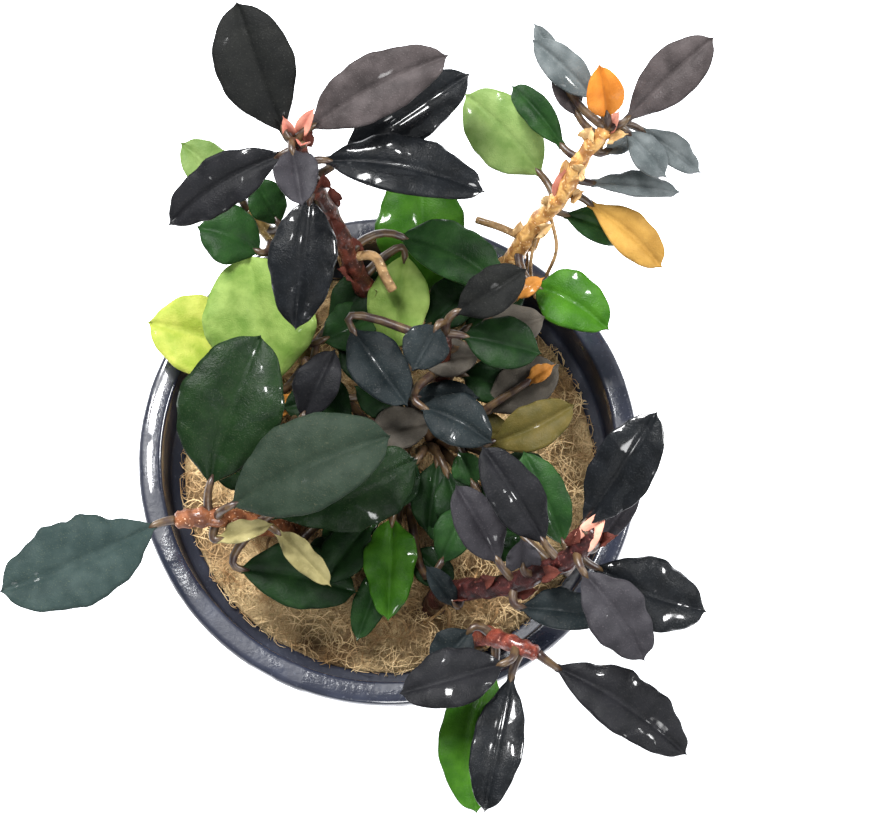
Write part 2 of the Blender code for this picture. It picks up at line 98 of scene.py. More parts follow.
class Value:
    """A number in a shader, on which Python's arithmetic adds Math nodes."""

    def __init__(self, finish, socket):
        self.finish = finish
        self.socket = socket

    def maths(self, operation, *numbers):
        added = self.finish.add("ShaderNodeMath", {"operation": operation}, dict(enumerate(numbers)))
        return Value(self.finish, added.outputs[0])

    def __add__(self, other):
        return self.maths("ADD", self, other)

    def __sub__(self, other):
        return self.maths("SUBTRACT", self, other)

    def __mul__(self, other):
        return self.maths("MULTIPLY", self, other)

    def __truediv__(self, other):
        return self.maths("DIVIDE", self, other)

    def __pow__(self, other):
        return self.maths("POWER", self, other)

    def __rsub__(self, other):
        return self.maths("SUBTRACT", other, self)

    __radd__ = __add__
    __rmul__ = __mul__

    def ramp(self, low, high):
        """Nought below low, one above high, and smooth between."""
        settings = {"interpolation_type": "SMOOTHSTEP"}
        added = self.finish.add("ShaderNodeMapRange", settings, {0: self, 1: low, 2: high})
        return Value(self.finish, added.outputs[0])


class Finish:
    """A material that is built up on its Principled shader."""

    def __init__(self, name, **sockets):
        self.material = bpy.data.materials.new(name)
        self.material.use_nodes = True
        self.tree = self.material.node_tree
        self.shader = self.tree.nodes["Principled BSDF"]
        self.place = self.add("ShaderNodeTexCoord").outputs
        for socket, value in sockets.items():
            self.set(socket.replace("_", " "), value)

    def plug(self, socket, value):
        if isinstance(value, Value):
            value = value.socket
        if isinstance(value, bpy.types.NodeSocket):
            self.tree.links.new(value, socket)
        elif isinstance(value, tuple) and len(value) == 3 and len(socket.default_value) == 4:
            socket.default_value = (*value, 1.0)
        else:
            socket.default_value = value

    def set(self, name, value):
        self.plug(self.shader.inputs[name], value)

    def add(self, kind, settings=None, sockets=None):
        """Any node: its settings first, then the values or links of its sockets."""
        added = self.tree.nodes.new(kind)
        for name, value in (settings or {}).items():
            setattr(added, name, value)
        for name, value in (sockets or {}).items():
            self.plug(added.inputs[name], value)
        return added

    def noise(self, size, detail=3.0, distortion=0.0):
        """Cloudy noise from nought to one, with lumps of about this size in millimetres."""
        sockets = {
            "Vector": self.place["Object"],
            "Scale": 1.0 / (size * MM),
            "Detail": detail,
            "Distortion": distortion,
        }
        return Value(self, self.add("ShaderNodeTexNoise", None, sockets).outputs["Fac"])

    def mix(self, amount, first, second):
        sockets = {0: amount, 6: first, 7: second}
        return self.add("ShaderNodeMix", {"data_type": "RGBA"}, sockets).outputs[2]

    def uneven(self, height, depth, strength=1.0):
        """Bump from a height of nought to one that stands this many millimetres."""
        sockets = {"Height": height, "Distance": depth * MM, "Strength": strength}
        self.set("Normal", self.add("ShaderNodeBump", None, sockets).outputs["Normal"])


def shown(name, mesh, finishes, slot, *nodes):
    """A finished piece, riding on the plant, with the nodes it stands for. Its slot is not used."""
    piece = bpy.data.objects.new(name, mesh)
    bpy.context.scene.collection.objects.link(piece)
    for finish in finishes:
        mesh.materials.append(finish.material)
    mesh.shade_smooth()
    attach(piece, "root")
    if nodes:
        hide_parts(*nodes)
    return piece


FLOOR_SIDE = 6.0
bm = bmesh.new()
bmesh.ops.create_grid(bm, x_segments=1, y_segments=1, size=FLOOR_SIDE / 2)
floor_mesh = bpy.data.meshes.new("floor")
bm.to_mesh(floor_mesh)
bm.free()
table = Finish("white table", Base_Color=(0.86, 0.87, 0.9), Roughness=0.7)
table.set("Emission Color", (0.97, 0.98, 1.0))
table.set("Emission Strength", 0.75)
floor_mesh.materials.append(table.material)
floor = bpy.data.objects.new("floor", floor_mesh)
floor.location = (0.0, 0.0, -0.0002)
bpy.context.scene.collection.objects.link(floor)

# Net pot.
# One injection moulded basket of black polypropylene, with a flat flange, a collar with a ledge
# inside it, and two staggered rows of slots. Water stands on its flange and runs down inside.
RIM_WIDTH = 2.6
FLANGE_THICKNESS = 1.4
COLLAR_DEPTH = 7.0
LEDGE_WIDTH = 2.2
BASE_RADIUS = 18.0
WALL = 1.0
SLOTS_ROUND = 12
SLOT_WIDTH = 3.0
SLOT_HEIGHT = 13.0
SLOT_FOOTS = (7.0, 24.0)
SLOT_CUT = 12.0
SLOT_ROUNDING = 1.2
POT_STEPS = 192


def rounded(corners, steps=4):
    """An outline of (radius, height, rounding) corners, each rounded off by an arc of its own size."""
    outline = []
    count = len(corners)
    for number, (radius, height, rounding) in enumerate(corners):
        corner = Vector((radius, height))
        before = Vector(corners[number - 1][:2]) if number else None
        after = Vector(corners[number + 1][:2]) if number + 1 < count else None
        if not rounding or before is None or after is None:
            outline.append(corner)
            continue
        start = corner + (before - corner).normalized() * rounding
        end = corner + (after - corner).normalized() * rounding
        for step in range(steps + 1):
            t = step / steps
            outline.append(start * (1 - t) ** 2 + corner * 2 * t * (1 - t) + end * t * t)
    return outline


def turned(outline, steps):
    """A half outline of (radius, height) points in millimetres, spun round the pot's axis."""
    bm = bmesh.new()
    spots = [bm.verts.new((point.x * MM, 0.0, point.y * MM)) for point in outline]
    ribs = [bm.edges.new(pair) for pair in zip(spots, spots[1:])]
    bmesh.ops.spin(
        bm,
        geom=spots + ribs,
        axis=(0.0, 0.0, 1.0),
        cent=(0.0, 0.0, 0.0),
        steps=steps,
        angle=math.tau,
        use_merge=True,
    )
    bmesh.ops.remove_doubles(bm, verts=bm.verts, dist=0.000001)
    return bm


collar_in = RIM_RADIUS - RIM_WIDTH
collar_out = collar_in + WALL
ledge_z = POT_HEIGHT - COLLAR_DEPTH
basket_out = collar_out - LEDGE_WIDTH
flange_z = POT_HEIGHT - FLANGE_THICKNESS
pot_outline = rounded([
    (0.0, 0.0, 0.0),
    (BASE_RADIUS, 0.0, 0.9),
    (basket_out, ledge_z - 0.8, 0.5),
    (collar_out - 0.3, ledge_z, 0.4),
    (collar_out, flange_z, 0.3),
    (RIM_RADIUS, flange_z, 0.25),
    (RIM_RADIUS, POT_HEIGHT, 0.75),
    (collar_in, POT_HEIGHT, 0.45),
    (collar_in - 0.6, ledge_z + 0.8, 0.4),
    (basket_out - WALL, ledge_z + 0.4, 0.35),
    (BASE_RADIUS - WALL - 0.6, WALL, 0.6),
    (0.0, WALL, 0.0),
])
bm = turned(pot_outline, POT_STEPS)
bmesh.ops.recalc_face_normals(bm, faces=bm.faces)
pot_mesh = bpy.data.meshes.new("net_pot_moulding")
bm.to_mesh(pot_mesh)
bm.free()

plastic = Finish("black polypropylene", Roughness=0.3, Specular_IOR_Level=0.34)
grime = plastic.noise(5.0, 4.0).ramp(0.45, 0.75)
dust = plastic.noise(0.35, 2.0).ramp(0.62, 0.78)
tone = plastic.mix(grime * 0.6, (0.012, 0.014, 0.024), (0.028, 0.033, 0.052))
plastic.set("Base Color", plastic.mix(dust * 0.35, tone, (0.09, 0.10, 0.13)))
above = plastic.add("ShaderNodeSeparateXYZ", None, {0: plastic.place["Object"]}).outputs[2]
wet = plastic.noise(6.0, 2.0).ramp(0.42, 0.54) * Value(plastic, above).ramp(0.0475, 0.0492)
plastic.set("Roughness", 0.42 - wet * 0.22 + dust * 0.2)
plastic.set("Coat Weight", wet)
plastic.set("Coat Roughness", 0.05)
plastic.uneven(plastic.noise(0.5, 3.0) * 0.5 + plastic.noise(3.0, 2.0), 0.12, 0.5)
pot = shown("net_pot_moulding", pot_mesh, [plastic], "black_plastic", "net_pot")
pot_mesh.set_sharp_from_angle(angle=math.radians(50.0))

bm = bmesh.new()
for row, foot in enumerate(SLOT_FOOTS):
    for number in range(SLOTS_ROUND):
        heading = math.tau * (number + 0.5 * row) / SLOTS_ROUND
        block = bmesh.ops.create_cube(bm, size=MM)["verts"]
        bmesh.ops.scale(bm, verts=block, vec=(SLOT_CUT, SLOT_WIDTH, SLOT_HEIGHT))
        middle = Vector((BASE_RADIUS + 1.0, 0.0, foot + SLOT_HEIGHT / 2)) * MM
        bmesh.ops.translate(bm, verts=block, vec=middle)
        bmesh.ops.rotate(bm, verts=block, matrix=Matrix.Rotation(heading, 3, "Z"))
radial = [edge for edge in bm.edges if abs(edge.calc_length() - SLOT_CUT * MM) < 0.1 * MM]
bmesh.ops.bevel(
    bm,
    geom=radial,
    offset=SLOT_ROUNDING * MM,
    affect="EDGES",
    segments=4,
    profile=0.5,
    material=-1,
)
cutter_mesh = bpy.data.meshes.new("slot_cutter")
bm.to_mesh(cutter_mesh)
bm.free()
cutter = bpy.data.objects.new("slot_cutter", cutter_mesh)
bpy.context.scene.collection.objects.link(cutter)
cut = pot.modifiers.new("slots", "BOOLEAN")
cut.object = cutter
cut.solver = "EXACT"
graph = bpy.context.evaluated_depsgraph_get()
pot.data = bpy.data.meshes.new_from_object(pot.evaluated_get(graph))
pot.modifiers.clear()
bpy.data.objects.remove(cutter)

# Rock wool.
# A plug of spun rock fibre fills the basket. It is tan where it is dry and brown where wet roots
# and algae hold it, and loose curled strands stand up from its top.
PLUG_EDGE_HEIGHT = 43.0
PLUG_CROWN = 2.6
PLUG_ROUGHNESS = 1.3
PLUG_RINGS = 60
PLUG_STEPS = 180
PLUG_RADIUS = collar_in - LEDGE_WIDTH - 0.05
STRANDS = 3400
STRAND_POINTS = 8
dice = random.Random(11)


def ground(x, y):
    """Height of the plug's lumpy top, in millimetres."""
    radius = math.hypot(x, y)
    crown = PLUG_CROWN * (1.0 - (radius / RIM_RADIUS) ** 2)
    return PLUG_EDGE_HEIGHT + crown + noise.noise(Vector((x, y, 0.0)) * 0.16) * PLUG_ROUGHNESS


def smooth_path(points, steps=2):
    """Points along a curve that runs smoothly through the given ones."""
    knots = [Vector(point) for point in points]
    knots = [2 * knots[0] - knots[1], *knots, 2 * knots[-1] - knots[-2]]
    path = []
    for a, b, c, d in zip(knots, knots[1:], knots[2:], knots[3:]):
        for step in range(steps):
            t = step / steps
            path.append(0.5 * (
                2 * b + (c - a) * t + (2 * a - 5 * b + 4 * c - d) * t * t
                + (3 * b - a - 3 * c + d) * t ** 3
            ))
    return [*path, knots[-2]]


def tubes(name, runs, sides=2):
    """One mesh of round tubes: each run is a list of (place in millimetres, radius) stations."""
    curve = bpy.data.curves.new(name, "CURVE")
    curve.dimensions = "3D"
    curve.bevel_depth = MM
    curve.bevel_resolution = sides
    curve.use_fill_caps = True
    for run in runs:
        spline = curve.splines.new("POLY")
        spline.points.add(len(run) - 1)
        for point, (place, radius) in zip(spline.points, run):
            point.co = (*(place * MM), 1.0)
            point.radius = radius
    drawn = bpy.data.objects.new(name, curve)
    bpy.context.scene.collection.objects.link(drawn)
    mesh = bpy.data.meshes.new_from_object(drawn.evaluated_get(bpy.context.evaluated_depsgraph_get()))
    bpy.data.objects.remove(drawn)
    mesh.name = name
    mesh.materials.clear()
    bm = bmesh.new()
    bm.from_mesh(mesh)
    bmesh.ops.remove_doubles(bm, verts=bm.verts, dist=0.000002)
    bmesh.ops.recalc_face_normals(bm, faces=bm.faces)
    bm.to_mesh(mesh)
    bm.free()
    return mesh


plug_outline = [Vector((0.0, WALL + 0.1)), Vector((BASE_RADIUS - WALL - 0.7, WALL + 0.1))]
plug_outline.append(Vector((PLUG_RADIUS, ledge_z - 0.2)))
for ring in range(PLUG_RINGS):
    plug_outline.append(Vector((PLUG_RADIUS * (1 - ring / PLUG_RINGS), PLUG_EDGE_HEIGHT + 1.0)))
plug_outline.append(Vector((0.0, PLUG_EDGE_HEIGHT + 1.0)))
bm = turned(plug_outline, PLUG_STEPS)
for vert in bm.verts:
    if vert.co.z > (PLUG_EDGE_HEIGHT + 0.5) * MM:
        place = vert.co / MM
        tufts = abs(noise.noise(Vector((place.x, place.y, 3.0)) * 0.9)) * 1.1
        tufts += abs(noise.noise(Vector((place.x, place.y, 7.0)) * 2.2)) * 0.5
        vert.co.z = (ground(place.x, place.y) - 0.5 + tufts) * MM
bmesh.ops.recalc_face_normals(bm, faces=bm.faces)
plug_mesh = bpy.data.meshes.new("rock_wool_plug")
bm.to_mesh(plug_mesh)
bm.free()

wool = Finish("rock wool", Roughness=0.92)
damp = wool.noise(7.0, 3.0).ramp(0.4, 0.62)
strandy = wool.noise(0.45, 5.0, distortion=1.6)
dry_tone = wool.mix(strandy, (0.34, 0.21, 0.085), (0.92, 0.70, 0.38))
damp_tone = wool.mix(strandy, (0.085, 0.048, 0.020), (0.42, 0.26, 0.11))
wool.set("Base Color", wool.mix(damp, dry_tone, damp_tone))
wool.set("Roughness", 0.95 - damp * 0.35)
wool.uneven(strandy + wool.noise(0.18, 3.0) * 0.6, 0.6, 1.0)
shown("rock_wool_plug", plug_mesh, [wool], "rock_wool", "rock_wool")

strand_runs = []
for _ in range(STRANDS):
    radius = PLUG_RADIUS * math.sqrt(dice.random()) * 1.02
    angle = dice.uniform(0.0, math.tau)
    heading = dice.uniform(0.0, math.tau)
    bend = dice.uniform(-0.5, 0.5)
    spot = Vector((radius * math.cos(angle), radius * math.sin(angle), 0.0))
    step = dice.uniform(0.3, 0.75)
    lift = dice.uniform(0.1, 1.0)
    thick = dice.uniform(0.02, 0.05)
    run = []
    for number in range(STRAND_POINTS):
        rise = lift * math.sin(math.pi * number / (STRAND_POINTS - 1))
        place = Vector((spot.x, spot.y, ground(spot.x, spot.y) + 0.1 + rise))
        if spot.length < PLUG_RADIUS + 0.6:
            run.append((place, thick))
        heading += bend + dice.uniform(-0.5, 0.5)
        spot = spot + Vector((math.cos(heading), math.sin(heading), 0.0)) * step
    if len(run) > 2:
        strand_runs.append(run)
strand = Finish("loose strands", Roughness=0.6)
shade = strand.noise(4.0, 2.0)
strand.set("Base Color", strand.mix(shade.ramp(0.35, 0.65), (0.88, 0.66, 0.36), (0.36, 0.21, 0.085)))
strand.uneven(strand.noise(0.2, 2.0), 0.05, 0.6)
shown("rock_wool_strands", tubes("rock_wool_strands", strand_runs, 0), [strand], "rock_wool")

# Dark shoot, at the back left.
# Its stem is a red-brown rhizome scarred where old leaves fell. A leaf is a round stalk and a
# thick waxy blade with a sunken midrib, wavy margins and a pale point at its tip. The blades are
# nearly black, and the lower ones green.
LEAF_THICKNESS = 0.34
STALK_RADIUS = 0.48
STALK_ROWS = 6
BLADE_ROWS = 46
BLADE_COLUMNS = 18
POINT_LENGTH = 0.55
GROOVE_DEPTH = 0.20
GROOVE_WIDTH = 0.28
VEIN_TURNS = 74.0
VEIN_SLANT = 0.42
VEIN_RELIEF = 0.022
OUTLINE_RIPPLE = 0.024
USUAL_WAVE = 0.16
STEM_TAPER = 0.78
THIN_ROOTS = 6

Leaf = namedtuple(
    "Leaf",
    "name look base tip width bow cup roll sweep fullest wave",
    defaults=(1.0, 0.12, 0.0, 0.0, 0.52, USUAL_WAVE),
)
Look = namedtuple("Look", "slot dark light rib margin rough wet speckle veins")


def leaf_finish(name, look):
    """A waxy blade: mottled, with a rib, side veins, a paler margin and patches of standing water."""
    leaf = Finish(name, IOR=1.42, Specular_IOR_Level=0.11)
    flat = leaf.add("ShaderNodeSeparateXYZ", None, {0: leaf.place["UV"]}).outputs
    across = (Value(leaf, flat[0]) * 2.0 - 1.0).maths("ABSOLUTE")
    along = Value(leaf, flat[1])
    mottle = leaf.noise(2.2, 4.0)
    fine = leaf.noise(0.16, 2.0)
    slant = (along - across ** 1.3 * VEIN_SLANT) * VEIN_TURNS
    vein = slant.maths("SINE") * 0.5 + 0.5
    vein = vein ** 6.0 * (1.0 - across ** 4.0)
    rib = 1.0 - across.ramp(0.015, 0.075)
    edge = (across + fine * 0.05).ramp(0.93, 1.0)
    body = leaf.mix(mottle.ramp(0.22, 0.82), look.dark, look.light)
    body = leaf.mix(vein * look.veins, body, look.light)
    body = leaf.mix(fine.ramp(0.58, 0.76) * (look.speckle * 0.45), body, look.margin)
    body = leaf.mix(rib * 0.85, body, look.rib)
    leaf.set("Base Color", leaf.mix(edge * 0.75, body, look.margin))
    pools = leaf.noise(3.4, 3.0, distortion=0.8).ramp(0.69 - 0.21 * look.wet, 0.75 - 0.21 * look.wet)
    leaf.set("Roughness", look.rough + fine * 0.16 - pools * (look.rough - 0.16) * 0.8)
    leaf.set("Coat Weight", pools * min(1.0, look.wet * 1.4))
    leaf.set("Coat Roughness", 0.10)
    relief = vein * 0.6 + fine * 0.5 + leaf.noise(0.7, 3.0) * 0.6
    leaf.uneven(relief, 0.14, 0.8)
    return leaf


BLACK = Look("black_leaf", (0.0045, 0.0048, 0.0057), (0.0102, 0.0102, 0.012), (0.004, 0.004, 0.005),
             (0.085, 0.080, 0.075), 0.42, 0.45, 0.35, 0.25)
MATTE_BLACK = Look("black_leaf", (0.004, 0.0044, 0.0044), (0.0084, 0.0088, 0.008), (0.003, 0.003, 0.003),
                   (0.075, 0.075, 0.068), 0.55, 0.12, 0.45, 0.2)
WET_BLACK = Look("black_leaf", (0.0025, 0.003, 0.0035), (0.0065, 0.0075, 0.009), (0.003, 0.003, 0.004),
                 (0.09, 0.10, 0.11), 0.3, 0.85, 0.25, 0.4)
# Brown-black, with lighter tones and strong pale speckle that are partly painted sheen: the silvery shine
# these leaves catch from the light.
BROWN_BLACK_PAINTED_SHEEN = Look("black_leaf", (0.022, 0.018, 0.018), (0.060, 0.050, 0.050), (0.006, 0.004, 0.004),
                   (0.15, 0.13, 0.13), 0.42, 0.35, 0.6, 0.3)
VIOLET = Look("slate_leaf", (0.0153, 0.0144, 0.0171), (0.0324, 0.0306, 0.0351), (0.018, 0.016, 0.022),
              (0.16, 0.14, 0.15), 0.42, 0.3, 0.4, 0.3)
DEEP_GREEN = Look("deep_green_leaf", (0.006, 0.021, 0.006), (0.017, 0.052, 0.012), (0.006, 0.016, 0.008),
                  (0.12, 0.15, 0.07), 0.34, 0.5, 0.2, 0.35)
GREEN = Look("green_leaf", (0.014, 0.0595, 0.0035), (0.0385, 0.119, 0.0084), (0.11, 0.25, 0.05),
             (0.10, 0.26, 0.03), 0.32, 0.55, 0.1, 0.35)
LIME = Look("lime_leaf", (0.090, 0.170, 0.026), (0.250, 0.345, 0.090), (0.050, 0.120, 0.015),
            (0.34, 0.44, 0.13), 0.42, 0.3, 0.1, 0.45)
PINK = Look("brown_stem", (0.42, 0.12, 0.09), (0.62, 0.30, 0.22), (0.30, 0.06, 0.05),
            (0.70, 0.42, 0.30), 0.35, 0.4, 0.2, 0.2)

# The stalks' dark brown is partly painted shade: they are kept dark so that they sink into the shade under
# the blades.
stalk = Finish("leaf stalks", Roughness=0.4)
stalk_tone = stalk.noise(1.2, 3.0)
stalk.set("Base Color", stalk.mix(stalk_tone.ramp(0.35, 0.65), (0.024, 0.010, 0.007), (0.075, 0.044, 0.018)))
stalk.uneven(stalk.noise(0.4, 3.0), 0.05, 0.6)


def nearest_on(path, place):
    """The point of a path that lies nearest to a place."""
    best = None
    for start, end in zip(path, path[1:]):
        run = end - start
        along = max(0.0, min(1.0, (place - start).dot(run) / run.length_squared))
        spot = start + run * along
        if best is None or (spot - place).length < (best - place).length:
            best = spot
    return best


def blade_mesh(leaf, seed):
    """A grid laid along the midrib, shaped in place and given its thickness, with a map of its own."""
    base = Vector(leaf.base)
    tip = Vector(leaf.tip)
    length = (tip - base).length
    heading = (tip - base).normalized()
    sideways = heading.cross(Vector((0.0, 0.0, 1.0))).normalized()
    rise = sideways.cross(heading)
    skew = math.log(0.5) / math.log(leaf.fullest)
    ripples = max(1.6, length * 0.19)
    bm = bmesh.new()
    bmesh.ops.create_grid(bm, x_segments=BLADE_ROWS, y_segments=BLADE_COLUMNS, size=1.0)
    chart = bm.loops.layers.uv.new("blade")
    for face in bm.faces:
        for loop in face.loops:
            loop[chart].uv = ((loop.vert.co.y + 1) / 2, (loop.vert.co.x + 1) / 2)
    for vert in bm.verts:
        t = 0.5 - 0.5 * math.cos(math.pi * (vert.co.x + 1) / 2)
        s = vert.co.y
        arch = 4 * t * (1 - t)
        slope = 4 * (1 - 2 * t)
        place = base.lerp(tip, t) + rise * leaf.bow * arch - sideways * leaf.sweep * arch
        forward = heading * length + rise * leaf.bow * slope - sideways * leaf.sweep * slope
        out = forward.cross(Vector((0.0, 0.0, 1.0))).normalized()
        over = out.cross(forward).normalized()
        roll = math.radians(leaf.roll) * min(1.0, t * 4)
        side = out * math.cos(roll) + over * math.sin(roll)
        over = over * math.cos(roll) - out * math.sin(roll)
        swell = math.sin(math.pi * t ** skew) ** (0.82 - 0.36 * t) if 0.0 < t < 1.0 else 0.0
        half = max(leaf.width / 2 * swell, STALK_RADIUS * (1.0 - t) ** 0.5 * 0.9, 0.07)
        phase = seed * 1.7 + (2.1 if s > 0 else 0.0)
        wave = math.sin(math.tau * ripples * t + phase)
        wave += 0.5 * math.sin(math.tau * ripples * 2.3 * t + phase * 2)
        full = min(1.0, half / 1.2)
        half *= 1.0 + OUTLINE_RIPPLE * wave * leaf.wave / USUAL_WAVE * full
        lift = leaf.cup * half * abs(s) ** 1.3
        lift += 0.10 * half * math.sin(math.pi * abs(s)) * full
        lift += leaf.wave * wave * abs(s) ** 3 * full
        lift -= GROOVE_DEPTH * math.exp(-(s * half / GROOVE_WIDTH) ** 2) * full
        lift += VEIN_RELIEF * math.sin(VEIN_TURNS * (t - VEIN_SLANT * abs(s) ** 1.3)) * full
        vert.co = (place + heading * POINT_LENGTH * max(0.0, t - 0.97) * 33 * (1 - abs(s))
                   - side * half * s + over * lift) * MM
    faces = list(bm.faces)
    bmesh.ops.solidify(bm, geom=faces, thickness=LEAF_THICKNESS * MM)
    bmesh.ops.recalc_face_normals(bm, faces=bm.faces)
    mesh = bpy.data.meshes.new(leaf.name)
    bm.to_mesh(mesh)
    bm.free()
    return mesh


def grow(leaf, stem_path, finish, *nodes):
    """A blade and its stalk in one piece, the stalk rooted inside the stem."""
    base = Vector(leaf.base)
    tip = Vector(leaf.tip)
    joint = nearest_on(stem_path, base)
    heading = (tip - base).normalized()
    turn_in = base - heading * 0.5 * (base - joint).length
    run = []
    for row in range(STALK_ROWS + 1):
        t = row / STALK_ROWS
        place = joint * (1 - t) ** 2 + turn_in * 2 * t * (1 - t) + base * t * t
        run.append((place, STALK_RADIUS * (1.15 - 0.3 * t)))
    run.append((base + heading * 0.9 + Vector((0.0, 0.0, -0.1)), STALK_RADIUS * 0.45))
    seed = sum(ord(letter) for letter in leaf.name) % 17
    bm = bmesh.new()
    bm.from_mesh(blade_mesh(leaf, seed))
    blade_faces = len(bm.faces)
    bm.from_mesh(tubes(leaf.name + "_stalk", [run], 2))
    bm.faces.ensure_lookup_table()
    for face in bm.faces[blade_faces:]:
        face.material_index = 1
    mesh = bpy.data.meshes.new(leaf.name + "_blade")
    bm.to_mesh(mesh)
    bm.free()
    return shown(leaf.name + "_blade", mesh, [finish, stalk], leaf.look.slot, *nodes)


def stem_finish(name, low, high, fleck):
    """Scarred bark: two tones in bands, flecks, and a moist skin."""
    bark = Finish(name, Specular_IOR_Level=0.2)
    bands = bark.noise(1.4, 4.0, distortion=0.6)
    spots = bark.noise(0.35, 2.0).ramp(0.62, 0.72)
    bark.set("Base Color", bark.mix(spots * 0.7, bark.mix(bands.ramp(0.35, 0.65), low, high), fleck))
    damp = bark.noise(2.0, 2.0).ramp(0.45, 0.6)
    bark.set("Roughness", 0.5 - damp * 0.22)
    bark.set("Coat Weight", damp * 0.35)
    bark.set("Coat Roughness", 0.08)
    bark.uneven(bands + bark.noise(0.3, 3.0) * 0.5, 0.22, 0.9)
    return bark


def stem_mesh(name, path, radius):
    """A rhizome ringed by leaf scars."""
    path = smooth_path(path, 8)
    run = []
    last = len(path) - 1
    for number, place in enumerate(path):
        scar = 0.5 + 0.5 * math.cos(number * 1.35)
        swell = (0.93 + 0.16 * scar ** 3) * (STEM_TAPER + (1.0 - STEM_TAPER) * number / last)
        run.append((place, radius * swell * (0.55 if number == 0 else 1.0)))
    mesh = tubes(name, [run], 5)
    for vert in mesh.vertices:
        lump = noise.noise(vert.co / MM * 0.9) * 0.16 + noise.noise(vert.co / MM * 2.6) * 0.07
        vert.co = vert.co + vert.normal * lump * MM
    return mesh


def bracts(stem, line, radius, look, count):
    """Dry scales left by old leaves, which clasp the stem one above another, as one piece."""
    bm = bmesh.new()
    for number in range(count):
        along = 0.4 + (len(line) - 3.4) * number / count
        spot = line[int(along)].lerp(line[int(along) + 1], along % 1.0)
        ahead = (line[int(along)] - line[int(along) + 1]).normalized()
        sideways = ahead.cross(Vector((0.0, 0.0, 1.0))).normalized()
        turn = number * 2.4
        outward = sideways * math.cos(turn) + sideways.cross(ahead) * math.sin(turn)
        base = spot + outward * radius * 0.8
        tip = base + ahead * dice.uniform(1.6, 3.0) + outward * dice.uniform(0.2, 1.0)
        width = dice.uniform(1.3, 2.1)
        roll = dice.uniform(-40.0, 40.0)
        bm.from_mesh(blade_mesh(Leaf(stem, look, base, tip, width, 0.2, 0.3, roll, 0.0, 0.4, 0.2), number))
    mesh = bpy.data.meshes.new(stem + "_bracts")
    bm.to_mesh(mesh)
    bm.free()
    shown(stem + "_bracts", mesh, [look_of(look)], look.slot)


def thin_roots(stem, line):
    """Roots that leave the lower half of a stem and run down into the wool."""
    runs = []
    for number in range(THIN_ROOTS):
        start = line[-2 - number % max(2, len(line) // 2)]
        heading = dice.uniform(0.0, math.tau)
        reach = dice.uniform(2.0, 5.0)
        end = start + Vector((math.cos(heading), math.sin(heading), 0.0)) * reach
        if end.xy.length > PLUG_RADIUS - 0.5:
            end.xy = end.xy.normalized() * (PLUG_RADIUS - 0.5)
        end.z = ground(end.x, end.y) - 0.4
        stray = Vector((dice.uniform(-1.0, 1.0), dice.uniform(-1.0, 1.0), dice.uniform(0.0, 1.0)))
        bend = start.lerp(end, 0.5) + stray
        thick = dice.uniform(0.12, 0.26)
        runs.append([(place, thick) for place in smooth_path([start, bend, end], 6)])
    shown(stem + "_thin_roots", tubes(stem + "_thin_roots", runs, 1), [root_skin], "tan_stem")


def shoot(stem, path, radius, finish, slot, leaves, young=(), roots=(), scales=None):
    """A stem and every leaf on it. The stem's foot runs on down into the plug."""
    foot = Vector(path[-1])
    foot.z = ground(foot.x, foot.y) - 1.5
    path = [Vector(place) for place in path[:-1]] + [foot]
    shown(stem + "_rhizome", stem_mesh(stem + "_rhizome", path, radius), [finish], slot, stem)
    line = smooth_path(path)
    thin_roots(stem, line)
    if roots:
        runs = [[(place, thick) for place in smooth_path(root, 8)] for root, thick in roots]
        shown(stem + "_aerial_root", tubes(stem + "_aerial_root", runs, 3), [root_skin], "tan_stem")
    if scales:
        bracts(stem, line, radius, *scales)
    for leaf in leaves:
        grow(leaf, line, look_of(leaf.look), leaf.name)
    for leaf in young:
        grow(leaf, line, look_of(leaf.look))


made_looks = {}


def look_of(look):
    """The finish of a look, made once."""
    if look not in made_looks:
        made_looks[look] = leaf_finish(f"{look.slot} {len(made_looks)}", look)
    return made_looks[look]


